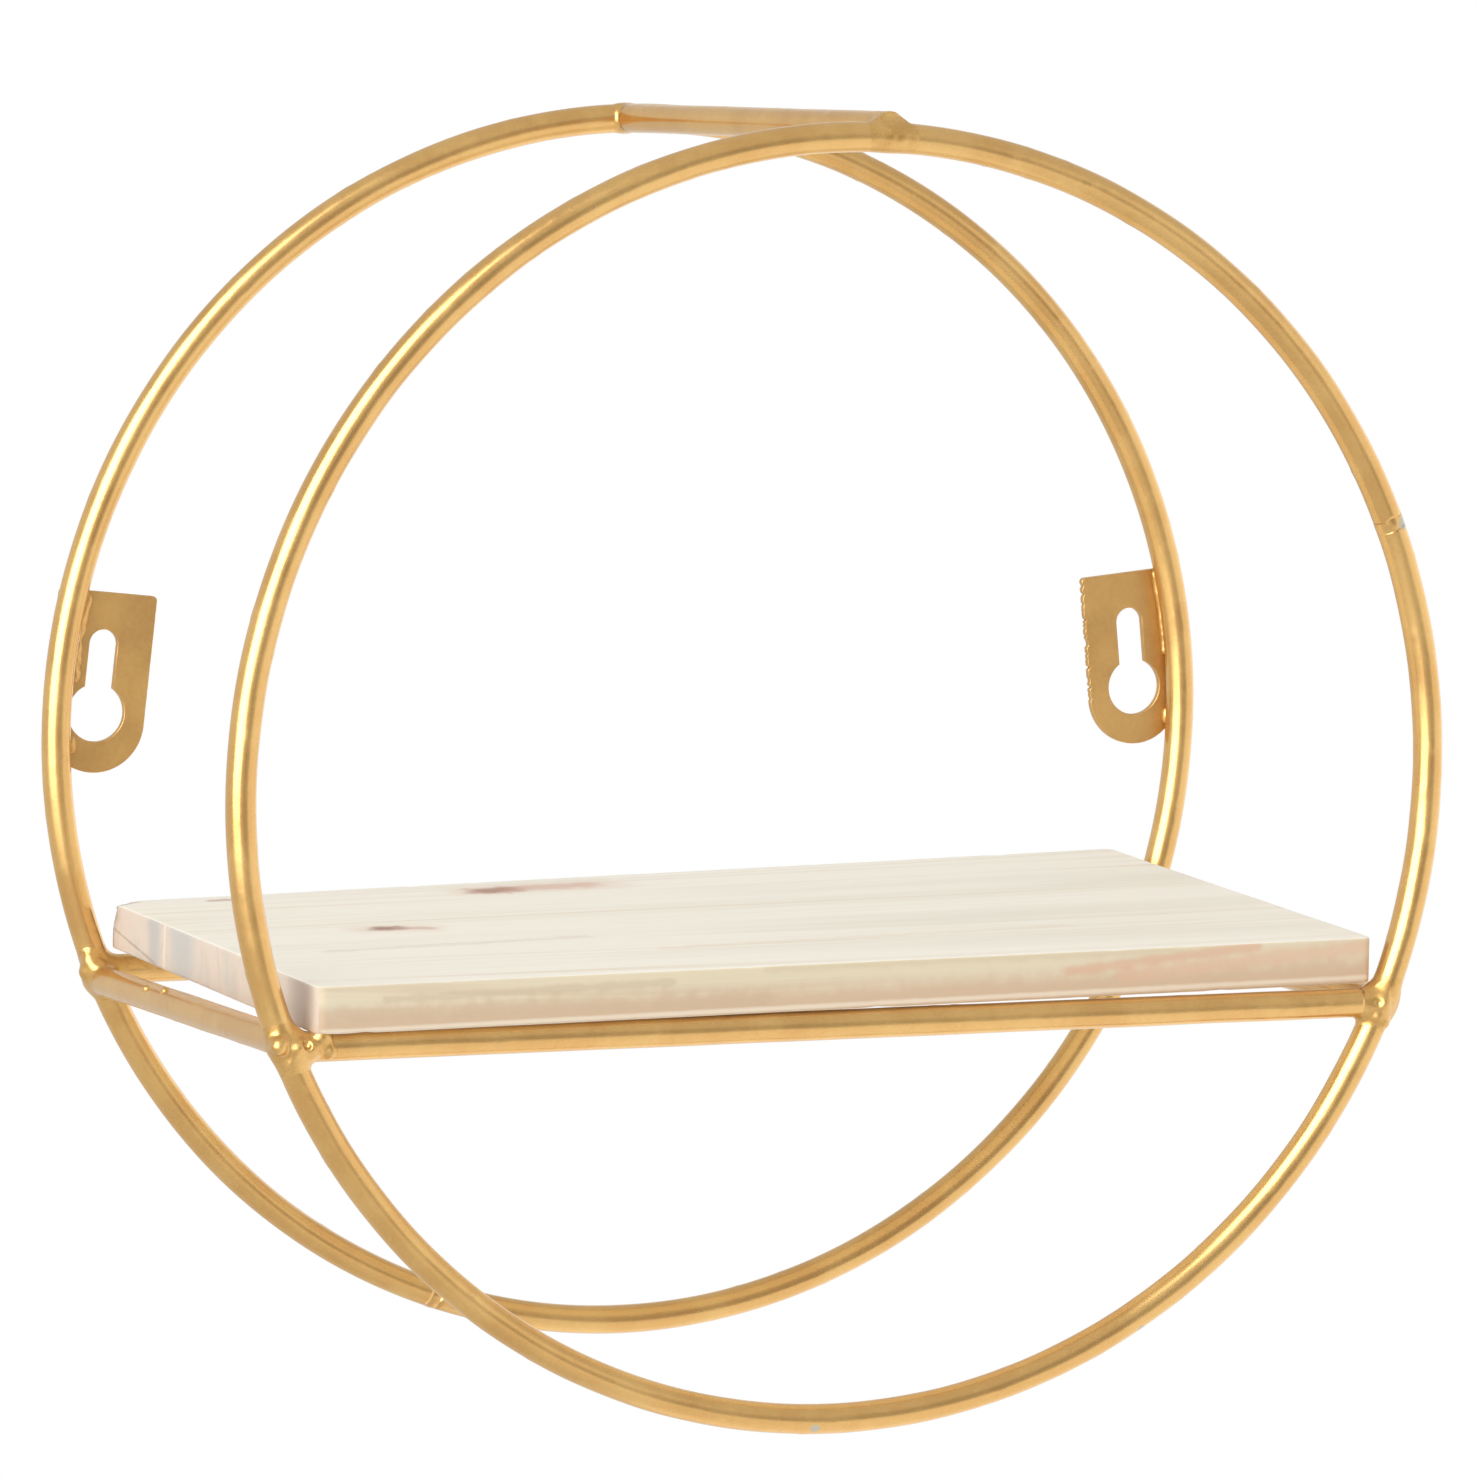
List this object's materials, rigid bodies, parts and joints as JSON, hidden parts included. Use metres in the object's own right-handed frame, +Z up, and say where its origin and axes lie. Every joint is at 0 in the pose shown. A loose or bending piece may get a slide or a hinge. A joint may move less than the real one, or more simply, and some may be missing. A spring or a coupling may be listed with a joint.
{
  "type": "round wall shelf",
  "caption": "Round wall shelf: a gold-painted frame of wire rings and cross bars with a loose pine board on its rails, hung by keyhole tabs.",
  "frame": {"origin": "on the wall plane, midway between the entry holes of the two hanging keyholes", "axes": "+X right as seen from the room, +Y into the wall, +Z up"},
  "size_m": [0.26, 0.1265, 0.2619],
  "materials": {
    "gold_wire": "satin",
    "gold_weld": "satin",
    "gold_tab": "satin",
    "pine_board": "matte"
  },
  "bodies": {
    "frame": {"back_ring": "gold_wire", "front_ring": "gold_wire", "back_ring_seam": "gold_weld", "front_ring_seam": "gold_weld", "back_rail": "gold_wire", "front_rail": "gold_wire", "left_side_bar": "gold_wire", "right_side_bar": "gold_wire", "top_bar": "gold_wire", "left_tab": "gold_tab", "right_tab": "gold_tab", "left_tab_welds": "gold_weld", "right_tab_welds": "gold_weld", "weld_back_left": "gold_weld", "weld_back_right": "gold_weld", "weld_front_left": "gold_weld", "weld_front_right": "gold_weld", "weld_top_back": "gold_weld", "weld_top_front": "gold_weld"},
    "board": {"shelf_board": "pine_board"}
  },
  "joints": [
    {"name": "board_slide", "type": "slide", "parent": "frame", "child": "board", "axis": [0, -1, 0], "range_m": [0, 0.14]}
  ]
}
